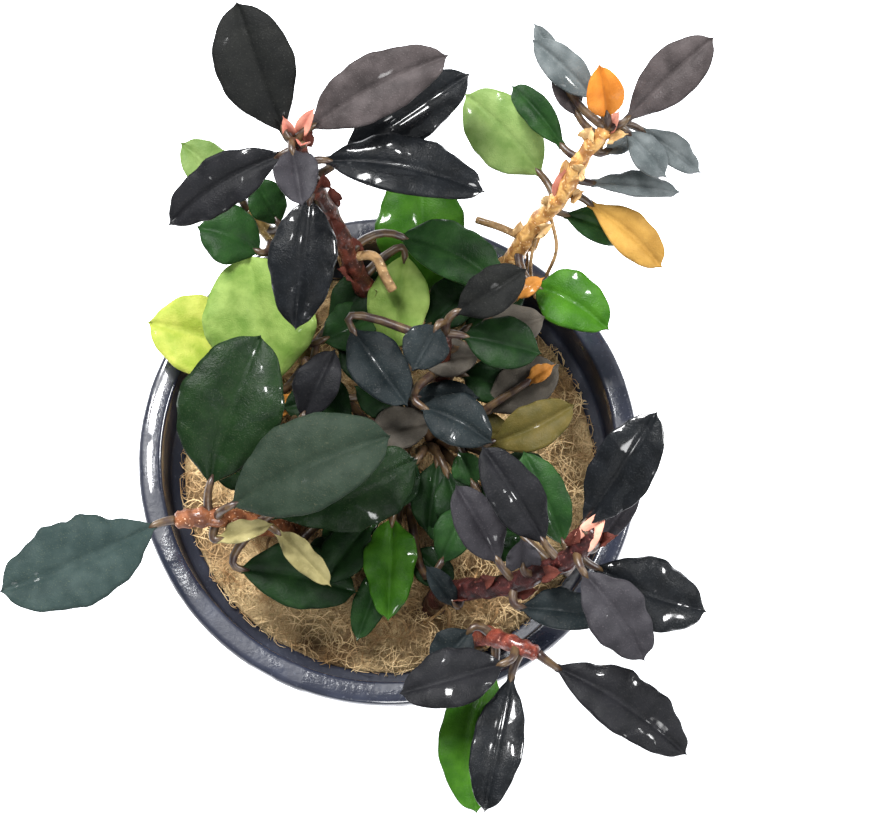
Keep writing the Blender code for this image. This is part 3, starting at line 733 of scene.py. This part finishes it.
root_skin = stem_finish("root skin", (0.15, 0.085, 0.035), (0.36, 0.22, 0.10), (0.55, 0.42, 0.24))
RUST = Look("brown_stem", (0.04, 0.010, 0.008), (0.12, 0.035, 0.024), (0.06, 0.012, 0.010),
            (0.42, 0.24, 0.20), 0.5, 0.2, 0.3, 0.5)
dark_bark = stem_finish("red-brown bark", (0.030, 0.009, 0.006), (0.105, 0.026, 0.015), (0.26, 0.14, 0.12))
shoot(
    "dark_stem",
    [(-9.7, 28.8, 75.0), (-8.2, 25.9, 71.0), (-5.8, 22.6, 65.0), (-3.7, 19.4, 59.0),
     (-1.9, 16.8, 53.0), (-1.2, 15.4, 46.0)],
    1.25, dark_bark, "brown_stem",
    (
        Leaf("dark_leaf_1", MATTE_BLACK, (-11.0, 29.6, 76.4), (-15.9, 42.2, 81.0),
             8.6, 1.0, 0.1, 8, 0.5, 0.56, 0.1),
        Leaf("dark_leaf_2", BROWN_BLACK_PAINTED_SHEEN, (-8.2, 30.2, 76.2), (6.1, 36.8, 80.0),
             6.8, 1.2, 0.12, -12, 0.3, 0.5, 0.14),
        Leaf("dark_leaf_3", WET_BLACK, (-4.8, 28.2, 71.0), (8.5, 36.9, 73.4), 6.6, 0.8, 0.1, -8),
        Leaf("dark_leaf_4", WET_BLACK, (-6.6, 27.4, 73.2), (10.0, 23.8, 74.0),
             7.0, 1.4, 0.15, 10, 0.6, 0.5),
        Leaf("dark_leaf_5", BLACK, (-11.4, 27.7, 74.2), (-23.2, 21.1, 71.0),
             5.8, 1.0, 0.15, 14, -0.6, 0.5, 0.26),
        Leaf("dark_leaf_6", VIOLET, (-10.1, 27.2, 77.6), (-9.0, 20.8, 79.4), 4.8, 0.6, 0.3),
        Leaf("dark_leaf_7", WET_BLACK, (-8.4, 23.8, 70.4), (-9.9, 10.7, 67.0), 7.4, 1.6, -0.1, 0, 0, 0.45),
        Leaf("dark_leaf_8", DEEP_GREEN, (1.5, 22.0, 62.4), (12.6, 16.8, 60.2),
             6.7, 1.2, 0.1, 10, 0.8, 0.45),
        Leaf("dark_leaf_9", GREEN, (3.4, 17.4, 54.2), (3.6, 32.1, 57.0), 9.9, 1.0, 0.05, 0, 0, 0.5),
        Leaf("dark_leaf_10", LIME, (1.8, 21.2, 57.8), (0.6, 11.6, 55.2), 7.0, 0.8, 0.1, -10, 0, 0.5),
    ),
    (
        Leaf("dark_sheath_1", PINK, (-10.4, 29.4, 75.2), (-11.0, 30.6, 77.8),
             1.5, 0.2, 0.4, 0, 0, 0.4, 0.03),
        Leaf("dark_sheath_2", PINK, (-9.4, 29.6, 75.4), (-7.9, 31.4, 78.2), 1.7, 0.2, 0.4, 0, 0, 0.4, 0.03),
        Leaf("dark_sheath_3", PINK, (-9.0, 28.4, 75.6), (-9.2, 27.6, 78.0), 1.6, 0.2, 0.4, 0, 0, 0.4, 0.03),
    ),
    [([(-4.4, 20.2, 60.4), (-1.6, 20.0, 61.6), (-0.3, 17.8, 60.8), (0.5, 16.6, 60.0)], 0.55)],
    (RUST, 12),
)

# Tan shoot, at the back right.
# An older rhizome wrapped in dry papery sheaths. Its crown carries narrow slate leaves round one
# young orange leaf, and its lower leaves are green or turning gold.
SLATE = Look("slate_leaf", (0.0045, 0.007, 0.008), (0.0115, 0.016, 0.0175), (0.010, 0.014, 0.016),
             (0.17, 0.17, 0.14), 0.42, 0.3, 0.35, 0.3)
# A paler copy of the slate: its pale tones and strong speckle are painted sheen, the shine the crown leaves
# catch from the light.
SLATE_PAINTED_SHEEN = Look("slate_leaf", (0.040, 0.050, 0.052), (0.125, 0.140, 0.142), (0.014, 0.018, 0.020),
                  (0.26, 0.27, 0.25), 0.34, 0.5, 0.6, 0.4)
ORANGE = Look("orange_leaf", (0.36, 0.105, 0.011), (0.56, 0.21, 0.030), (0.42, 0.10, 0.012),
              (0.75, 0.36, 0.10), 0.4, 0.2, 0.15, 0.35)
GOLD = Look("orange_leaf", (0.22, 0.115, 0.022), (0.38, 0.22, 0.050), (0.48, 0.30, 0.09),
            (0.50, 0.34, 0.14), 0.4, 0.3, 0.2, 0.3)
PALE_GREEN = Look("green_leaf", (0.075, 0.135, 0.030), (0.170, 0.240, 0.078), (0.060, 0.130, 0.030),
                  (0.30, 0.38, 0.16), 0.38, 0.4, 0.1, 0.4)
PAPER = Look("tan_stem", (0.40, 0.22, 0.07), (0.66, 0.46, 0.24), (0.30, 0.12, 0.05),
             (0.78, 0.60, 0.40), 0.6, 0.1, 0.3, 0.6)
tan_bark = stem_finish("papery tan bark", (0.26, 0.11, 0.030), (0.62, 0.36, 0.12), (0.80, 0.62, 0.38))
shoot(
    "tan_stem",
    [(23.8, 30.6, 75.0), (21.2, 28.6, 71.0), (19.3, 26.0, 66.0), (16.4, 24.0, 61.0),
     (14.2, 21.8, 56.4), (12.4, 18.4, 51.4), (11.4, 16.4, 46.0)],
    1.15, tan_bark, "tan_stem",
    (
        Leaf("tan_leaf_1", PALE_GREEN, (16.7, 28.8, 64.0), (8.8, 36.8, 66.6), 7.8, 1.2, 0.1, 10, 0, 0.5),
        Leaf("tan_leaf_2", DEEP_GREEN, (19.0, 29.8, 70.6), (13.8, 36.7, 69.8), 3.4, 1.6, 0.2, 20),
        Leaf("tan_leaf_3", SLATE_PAINTED_SHEEN, (22.0, 33.6, 76.2), (15.9, 38.8, 79.0), 4.0, 0.8, 0.2, 10),
        Leaf("tan_leaf_4", ORANGE, (23.6, 31.2, 77.0), (22.6, 34.8, 82.4), 4.2, 0.5, 0.25, 0, 0, 0.5, 0.06),
        Leaf("tan_leaf_5", BROWN_BLACK_PAINTED_SHEEN, (25.6, 30.9, 76.2), (34.6, 38.7, 80.0),
             5.6, 0.8, 0.1, -8, 0, 0.58, 0.1),
        Leaf("tan_leaf_6", SLATE_PAINTED_SHEEN, (25.8, 30.2, 74.6), (29.9, 26.3, 71.8), 3.8, 0.8, -0.1),
        Leaf("tan_leaf_7", SLATE_PAINTED_SHEEN, (22.2, 26.6, 67.6), (31.6, 26.2, 65.8), 3.2, 1.2, 0.1, 14),
        Leaf("tan_leaf_8", GOLD, (22.0, 25.2, 64.8), (29.8, 18.9, 62.2), 4.8, 0.8, 0.1, 0, 0.3, 0.58),
        Leaf("tan_leaf_9", GREEN, (16.4, 17.4, 58.6), (23.9, 12.2, 60.6), 6.6, 0.8, 0.12, 0, 0.4, 0.45),
    ),
    (
        Leaf("tan_young_1", BROWN_BLACK_PAINTED_SHEEN, (20.6, 32.2, 74.2), (18.2, 36.8, 75.4), 3.0, 0.6, 0.2),
        Leaf("tan_young_2", SLATE_PAINTED_SHEEN, (19.2, 35.2, 75.6), (16.0, 41.2, 77.4), 2.4, 0.5, 0.2),
        Leaf("tan_young_3", SLATE_PAINTED_SHEEN, (27.3, 30.9, 73.2), (33.7, 27.5, 69.4), 3.4, 0.8, 0.1),
        Leaf("tan_young_4", DEEP_GREEN, (19.4, 24.6, 62.4), (26.4, 22.6, 59.6), 3.9, 0.8, 0.1),
        Leaf("tan_young_5", SLATE_PAINTED_SHEEN, (23.6, 28.9, 71.4), (26.5, 30.4, 71.2), 2.2, 0.3, 0.2),
        Leaf("tan_sheath_1", PINK, (23.8, 30.2, 74.8), (24.8, 31.6, 76.8), 1.4, 0.2, 0.4, 0, 0, 0.4, 0.03),
        Leaf("tan_sheath_2", PINK, (21.4, 28.6, 71.0), (22.8, 30.6, 73.6), 1.6, 0.4, 0.4, 0, 0, 0.4, 0.05),
        Leaf("tan_sheath_3", PINK, (18.6, 25.6, 65.6), (19.6, 28.2, 68.4), 1.8, 0.4, 0.4, 0, 0, 0.4, 0.05),
    ),
    [([(15.2, 22.9, 58.4), (12.6, 24.2, 58.4), (9.8, 25.4, 57.6)], 0.45),
     ([(17.8, 24.6, 63.0), (18.6, 21.4, 60.0), (17.6, 19.4, 56.0)], 0.22),
     ([(16.6, 23.8, 61.0), (15.8, 20.4, 57.0), (16.4, 18.0, 52.0)], 0.2)],
    (PAPER, 13),
)

# Broad shoot, at the left.
# The largest blades of the plant, dusky grey-green or glossy dark green with pale brown margins,
# on a tan stem that leans over the rim. Two old leaves have dried and curled up under them.
TEAL = Look("slate_leaf", (0.011, 0.0213, 0.0204), (0.0272, 0.0425, 0.0399), (0.010, 0.014, 0.012),
            (0.15, 0.16, 0.09), 0.5, 0.12, 0.4, 0.25)
DUSK = Look("slate_leaf", (0.0084, 0.0161, 0.0098), (0.0189, 0.0294, 0.0196), (0.008, 0.012, 0.010),
            (0.20, 0.17, 0.10), 0.5, 0.12, 0.3, 0.2)
GLOSSY_GREEN = Look("deep_green_leaf", (0.003, 0.0096, 0.003),
                    (0.0084, 0.0216, 0.0066), (0.004, 0.010, 0.004),
                    (0.20, 0.22, 0.12), 0.28, 0.6, 0.2, 0.3)
# The deep green darkened by painted shade, for leaves that lie low or under others.
PAINTED_SHADE_GREEN = Look("deep_green_leaf", (0.0025, 0.009, 0.003), (0.008, 0.025, 0.006), (0.002, 0.006, 0.002),
             (0.05, 0.08, 0.03), 0.36, 0.4, 0.2, 0.3)
DRIED = Look("tan_stem", (0.14, 0.12, 0.045), (0.34, 0.30, 0.14), (0.10, 0.08, 0.03),
             (0.50, 0.44, 0.26), 0.55, 0.35, 0.4, 0.7)
broad_bark = stem_finish("tan-red bark", (0.075, 0.024, 0.010), (0.21, 0.075, 0.030), (0.72, 0.46, 0.30))
shoot(
    "broad_stem",
    [(-23.2, -9.0, 58.4), (-20.7, -8.8, 58.6), (-17.7, -8.6, 57.6), (-13.9, -8.8, 54.4),
     (-11.0, -7.8, 50.0), (-10.2, -7.4, 46.0)],
    1.35, broad_bark, "tan_stem",
    (
        Leaf("broad_leaf_1", TEAL, (-25.4, -9.7, 59.0), (-41.3, -17.5, 62.0),
             9.8, 1.4, 0.12, 0, 0.8, 0.55, 0.26),
        Leaf("broad_leaf_2", GLOSSY_GREEN, (-19.3, -5.2, 60.2), (-14.0, 9.8, 64.4),
             11.6, 1.0, 0.1, 0, 0.4, 0.5, 0.14),
        Leaf("broad_leaf_3", DUSK, (-16.8, -8.1, 61.8), (-0.1, -1.8, 67.0),
             10.4, 1.8, 0.1, 0, 0.3, 0.52, 0.1),
        Leaf("broad_leaf_4", GLOSSY_GREEN, (-12.8, -8.2, 56.8), (2.8, -2.2, 57.6),
             9.0, 1.0, -0.08, -8, -0.8, 0.6, 0.3),
        Leaf("broad_leaf_5", PAINTED_SHADE_GREEN, (-16.2, -13.4, 53.0), (-4.0, -15.3, 50.4), 7.4, 0.8, 0.1, 0, 0.4, 0.5),
    ),
    (
        Leaf("broad_young_1", DRIED, (-18.6, -11.0, 57.4), (-13.0, -9.6, 58.6),
             2.4, 0.5, 0.3, 0, 0, 0.5, 0.4),
        Leaf("broad_young_2", DRIED, (-12.2, -9.8, 56.0), (-6.6, -15.4, 55.4),
             3.0, 0.8, 0.3, 0, 0, 0.5, 0.4),
    ),
)

# Wine shoot, at the front right.
# A wet wine-red rhizome that ends in a salmon bud. Its leaves are black and glossy with silvery
# margins, and the blade at its far end has a brown dead spot.
wine_bark = stem_finish("wine-red bark", (0.012, 0.003, 0.003), (0.045, 0.010, 0.009), (0.16, 0.05, 0.04))
SALMON = Look("wine_stem", (0.62, 0.24, 0.17), (0.80, 0.45, 0.34), (0.45, 0.10, 0.08),
              (0.85, 0.56, 0.44), 0.35, 0.3, 0.1, 0.2)
shoot(
    "wine_stem",
    [(22.6, -12.4, 69.0), (19.6, -14.8, 65.8), (16.4, -15.8, 63.0), (12.7, -16.6, 60.0),
     (9.0, -16.2, 56.0), (6.0, -15.8, 51.0), (4.8, -15.8, 45.6)],
    1.35, wine_bark, "wine_stem",
    (
        Leaf("wine_leaf_1", WET_BLACK, (20.9, -11.9, 69.2), (28.3, -1.6, 76.0),
             6.8, 0.8, 0.12, 0, -0.4, 0.55),
        Leaf("wine_leaf_2", BLACK, (16.8, -13.2, 66.4), (10.4, -3.9, 70.0), 5.8, 1.2, 0.1, 0, 0, 0.5),
        Leaf("wine_leaf_3", VIOLET, (12.0, -14.6, 63.0), (7.6, -7.2, 66.0), 5.2, 1.0, 0.1, 0, 0, 0.5),
        Leaf("wine_leaf_4", WET_BLACK, (22.4, -15.8, 65.6), (33.9, -19.8, 62.6),
             7.8, 1.0, 0.08, 0, -0.7, 0.5),
        Leaf("wine_leaf_5", VIOLET, (21.0, -16.9, 68.0), (27.2, -25.5, 65.6),
             6.6, 1.2, 0.1, 0, 0.2, 0.5, 0.3),
        Leaf("wine_leaf_6", SLATE, (14.4, -19.2, 61.0), (23.3, -20.4, 61.6), 4.8, 1.0, 0.2, 10),
    ),
    (
        Leaf("wine_young_1", VIOLET, (22.4, -13.6, 66.0), (27.0, -7.4, 66.6), 2.8, 0.5, 0.2),
        Leaf("wine_young_2", VIOLET, (14.6, -15.6, 64.6), (14.4, -13.4, 67.6),
             3.8, 0.4, 0.3, 0, 0, 0.5, 0.3),
        Leaf("wine_young_3", DEEP_GREEN, (14.8, -14.0, 61.6), (11.6, -11.6, 59.6), 3.6, 0.8, 0.1),
        Leaf("wine_young_4", SLATE, (7.4, -17.8, 55.0), (4.4, -14.4, 58.4), 2.6, 0.4, 0.2),
        Leaf("wine_bud", SALMON, (20.6, -14.2, 67.2), (23.0, -11.0, 70.6), 2.6, 0.3, 0.3, 0, 0, 0.4, 0.05),
    ),
    (),
    (RUST, 9),
)

# Front shoot.
# A short brick-red rhizome whose leaves hang out over the rim: four black ones and one bright
# green old one under them.
brick_bark = stem_finish("brick-red bark", (0.070, 0.014, 0.010), (0.19, 0.042, 0.026), (0.45, 0.22, 0.16))
shoot(
    "front_stem",
    [(16.3, -24.2, 60.2), (13.8, -23.2, 60.2), (11.5, -21.8, 57.2), (10.2, -20.6, 52.0),
     (9.8, -19.6, 45.0)],
    1.15, brick_bark, "wine_stem",
    (
        Leaf("front_leaf_1", BLACK, (18.2, -25.6, 60.0), (31.9, -34.5, 58.0),
             6.8, 1.4, 0.12, 6, 0.6, 0.52, 0.26),
        Leaf("front_leaf_2", BLACK, (12.4, -25.6, 62.0), (1.8, -28.7, 62.2), 6.6, 1.2, 0.1, -6, 0.2, 0.5),
        Leaf("front_leaf_3", WET_BLACK, (13.4, -26.6, 60.2), (10.5, -41.0, 61.0),
             5.6, 1.2, 0.15, 0, 0, 0.55),
        Leaf("front_leaf_4", GREEN, (11.6, -25.4, 56.2), (9.7, -40.2, 55.0), 7.0, 1.0, 0.1, 0, -1.6, 0.5),
        Leaf("front_leaf_5", SLATE, (9.0, -21.2, 58.2), (5.5, -25.2, 56.6), 5.0, 0.8, 0.1),
    ),
)

# Centre shoot.
# A crowded crown of small round slate leaves in the middle of the pot, with older golden and
# brown ones under them.
TAUPE = Look("slate_leaf", (0.036, 0.032, 0.026), (0.085, 0.074, 0.060), (0.035, 0.028, 0.024),
             (0.22, 0.18, 0.13), 0.45, 0.3, 0.3, 0.35)
BRONZE = Look("orange_leaf", (0.038, 0.034, 0.008), (0.080, 0.060, 0.0152), (0.13, 0.10, 0.03),
              (0.32, 0.26, 0.11), 0.4, 0.3, 0.2, 0.35)
shoot(
    "centre_stem",
    [(6.4, 11.1, 62.0), (6.1, 9.6, 59.0), (5.9, 7.1, 55.0), (5.7, 5.0, 50.4), (5.6, 4.4, 46.8)],
    0.95, dark_bark, "brown_stem",
    (
        Leaf("centre_leaf_1", MATTE_BLACK, (7.4, 12.8, 64.6), (14.7, 16.5, 68.0),
             5.2, 0.8, 0.1, 0, -0.3, 0.55),
        Leaf("centre_leaf_2", PAINTED_SHADE_GREEN, (8.2, 10.8, 62.2), (16.3, 8.7, 63.0), 6.0, 0.8, 0.1, 0, 0, 0.55),
        Leaf("centre_leaf_3", SLATE, (5.4, 11.2, 64.6), (2.9, 6.4, 65.4), 5.2, 0.5, 0.1, 0, 0, 0.5),
        Leaf("centre_leaf_4", SLATE, (-3.9, 12.0, 60.2), (1.9, 3.6, 61.0), 6.2, 0.8, 0.15, 0, -0.2, 0.5),
        Leaf("centre_leaf_5", SLATE, (3.8, 3.2, 60.4), (11.0, -0.9, 61.6), 5.9, 0.8, 0.1, 0, 0.3, 0.5),
        Leaf("centre_leaf_6", BRONZE, (11.2, -0.2, 57.8), (20.0, 3.3, 60.4), 5.2, 0.8, 0.15, 0, -0.6, 0.55),
        Leaf("centre_leaf_7", TAUPE, (11.0, 4.0, 55.4), (18.5, 8.6, 57.2), 5.9, 0.8, 0.1, 0, 0, 0.55),
    ),
    (
        Leaf("centre_young_1", SLATE, (2.8, 5.4, 56.2), (9.6, 5.2, 56.8), 3.6, 0.5, 0.1),
        Leaf("centre_young_2", TAUPE, (9.8, 11.0, 58.6), (16.9, 13.3, 60.4), 5.2, 0.5, 0.1),
        Leaf("centre_young_3", TAUPE, (-2.4, 1.4, 54.6), (4.4, 2.6, 55.4), 5.0, 0.5, 0.1),
        Leaf("centre_young_4", DEEP_GREEN, (9.4, -4.6, 56.2), (7.9, -1.4, 57.4), 3.5, 0.4, 0.1),
    ),
)

# Green shoot, low at the back left.
# Older leaves that grew under the others: large, light green or yellowing, with a darker midrib.
YELLOW = Look("lime_leaf", (0.1728, 0.2448, 0.0216), (0.3744, 0.3888, 0.0792), (0.60, 0.62, 0.18),
              (0.50, 0.52, 0.16), 0.42, 0.3, 0.1, 0.3)
green_bark = stem_finish("green-brown bark", (0.16, 0.10, 0.03), (0.34, 0.24, 0.09), (0.5, 0.4, 0.2))
shoot(
    "green_stem",
    [(-15.9, 26.3, 59.0), (-11.8, 21.9, 56.0), (-10.4, 15.2, 53.0), (-8.9, 9.4, 49.6),
     (-8.6, 8.2, 46.0)],
    1.05, green_bark, "tan_stem",
    (
        Leaf("green_leaf_1", PALE_GREEN, (-17.0, 27.4, 61.6), (-22.6, 32.2, 63.6), 5.2, 0.6, 0.1),
        Leaf("green_leaf_2", DEEP_GREEN, (-14.4, 21.4, 58.6), (-20.8, 23.8, 59.8),
             6.8, 0.8, 0.1, 0, -0.3, 0.52),
        Leaf("green_leaf_3", LIME, (-13.0, 7.6, 53.6), (-15.6, 20.6, 58.6),
             12.6, 1.4, 0.08, 0, 0, 0.52, 0.12),
        Leaf("green_leaf_4", YELLOW, (-15.6, 11.4, 53.0), (-26.4, 14.3, 54.6), 9.2, 0.8, 0.1, 0, 0, 0.5),
        Leaf("green_leaf_5", DEEP_GREEN, (-7.4, 12.2, 55.0), (-1.6, 14.8, 55.4), 5.6, 0.4, 0.1),
        Leaf("green_leaf_6", BLACK, (-9.4, 2.4, 59.2), (-6.0, 9.0, 61.6), 5.0, 0.8, 0.15, 0, 0, 0.5),
    ),
    (Leaf("green_young_1", DEEP_GREEN, (-12.2, 24.4, 59.6), (-14.7, 28.4, 62.6), 4.4, 0.5, 0.1),),
)

# Shaded leaves, deep in the pot.
# Between the shoots the pot is full of small older leaves that get little light. They are deep
# green and smooth, and most of them lie a few millimetres over the wool. Most of them wear a
# dark green with their shade painted into it.
AMBER = Look("orange_leaf", (0.20, 0.075, 0.012), (0.40, 0.17, 0.035), (0.14, 0.05, 0.010),
             (0.5, 0.26, 0.09), 0.4, 0.3, 0.3, 0.4)
shade_line = smooth_path([(5.0, 2.0, 50.0), (2.0, 0.0, 49.0), (0.0, 2.0, 46.0)])
for number, (look, base, tip, width) in enumerate((
        (PAINTED_SHADE_GREEN, (6.4, -2.4, 53.0), (8.6, -9.4, 52.0), 5.0),
        (PAINTED_SHADE_GREEN, (3.0, -1.6, 54.4), (-0.6, -6.8, 54.6), 4.6),
        (PAINTED_SHADE_GREEN, (5.4, -1.0, 52.4), (4.4, -8.6, 51.4), 4.8),
        (PAINTED_SHADE_GREEN, (10.6, -3.6, 53.4), (13.6, -11.0, 53.0), 5.4),
        (DEEP_GREEN, (19.3, -11.7, 58.0), (15.0, -2.1, 60.0), 5.3),
        (PAINTED_SHADE_GREEN, (-2.2, -8.0, 52.0), (-7.0, -14.2, 51.6), 5.2),
        (PAINTED_SHADE_GREEN, (-4.2, 6.0, 53.4), (-11.4, 4.8, 54.0), 5.4),
        (PAINTED_SHADE_GREEN, (-3.0, 2.6, 55.0), (-9.6, -0.6, 55.4), 5.2),
        (PAINTED_SHADE_GREEN, (0.4, 8.6, 53.4), (-5.4, 11.4, 54.2), 5.4),
        (PAINTED_SHADE_GREEN, (8.2, 8.2, 55.4), (14.0, 6.2, 55.4), 5.0),
        (TAUPE, (3.8, 8.8, 57.6), (9.8, 9.6, 58.6), 4.4),
        (PAINTED_SHADE_GREEN, (8.6, 13.6, 54.8), (14.8, 18.6, 56.0), 5.6),
        (BRONZE, (7.0, 3.0, 53.4), (13.6, 1.0, 54.0), 4.6),
        (PAINTED_SHADE_GREEN, (4.2, 13.6, 55.2), (9.6, 18.6, 56.4), 5.4),
        (PAINTED_SHADE_GREEN, (-6.6, 14.0, 55.0), (-1.0, 19.6, 55.6), 5.0),
        (PAINTED_SHADE_GREEN, (-12.0, -1.0, 52.4), (-17.0, 4.0, 54.0), 5.4),
        (PAINTED_SHADE_GREEN, (12.4, -1.4, 54.4), (17.6, -4.4, 55.4), 4.8),
        (DEEP_GREEN, (5.8, -12.6, 52.6), (8.6, -6.4, 53.6), 4.4),
        (PAINTED_SHADE_GREEN, (-8.6, 8.0, 56.0), (-5.0, 1.6, 57.0), 5.0),
        (PAINTED_SHADE_GREEN, (-14.6, -3.4, 51.0), (-19.4, -0.4, 52.4), 4.6),
        (PAINTED_SHADE_GREEN, (2.6, -10.6, 50.4), (6.8, -14.6, 50.2), 4.2),
        (PAINTED_SHADE_GREEN, (-9.6, -12.6, 50.6), (-3.6, -11.0, 50.8), 5.4),
        (PAINTED_SHADE_GREEN, (1.6, 4.4, 54.0), (-3.4, 6.8, 54.8), 4.8),
        (AMBER, (15.4, 6.6, 58.2), (18.0, 8.2, 58.8), 1.9),
        (AMBER, (14.0, 15.6, 60.6), (16.8, 17.4, 61.4), 2.0),
        (AMBER, (-12.4, 4.0, 52.4), (-11.0, 6.4, 53.2), 1.9),
)):
    grow(Leaf(f"shaded_leaf_{number + 1}", look, base, tip, width, 0.7, 0.1), shade_line, look_of(look))

# Low shoot, in the middle front.
# A young shoot in the shade of the others: one vivid green leaf with a white rib that reaches out
# over the wool, and small deep green ones under it.
shoot(
    "low_stem",
    [(1.2, -4.6, 51.6), (1.4, -4.2, 49.4), (1.6, -3.6, 47.0)],
    0.8, green_bark, "tan_stem",
    (Leaf("low_leaf_1", GREEN, (0.4, -7.6, 52.0), (0.0, -18.4, 51.6), 5.8, 0.8, 0.15, 0, 0, 0.42, 0.3),),
    (
        Leaf("low_young_1", DEEP_GREEN, (-0.4, -11.8, 48.6), (-3.4, -20.1, 48.4), 3.8, 0.5, 0.1),
        Leaf("low_young_2", DEEP_GREEN, (3.2, -5.8, 50.4), (9.6, -9.6, 50.8), 5.0, 0.8, 0.1),
        Leaf("low_young_3", DEEP_GREEN, (-0.8, -5.4, 50.8), (-7.0, -10.2, 51.2), 5.0, 0.8, 0.1),
        Leaf("low_young_4", DEEP_GREEN, (0.8, -2.8, 51.4), (-4.0, 2.4, 52.4), 5.0, 0.8, 0.1),
    ),
)
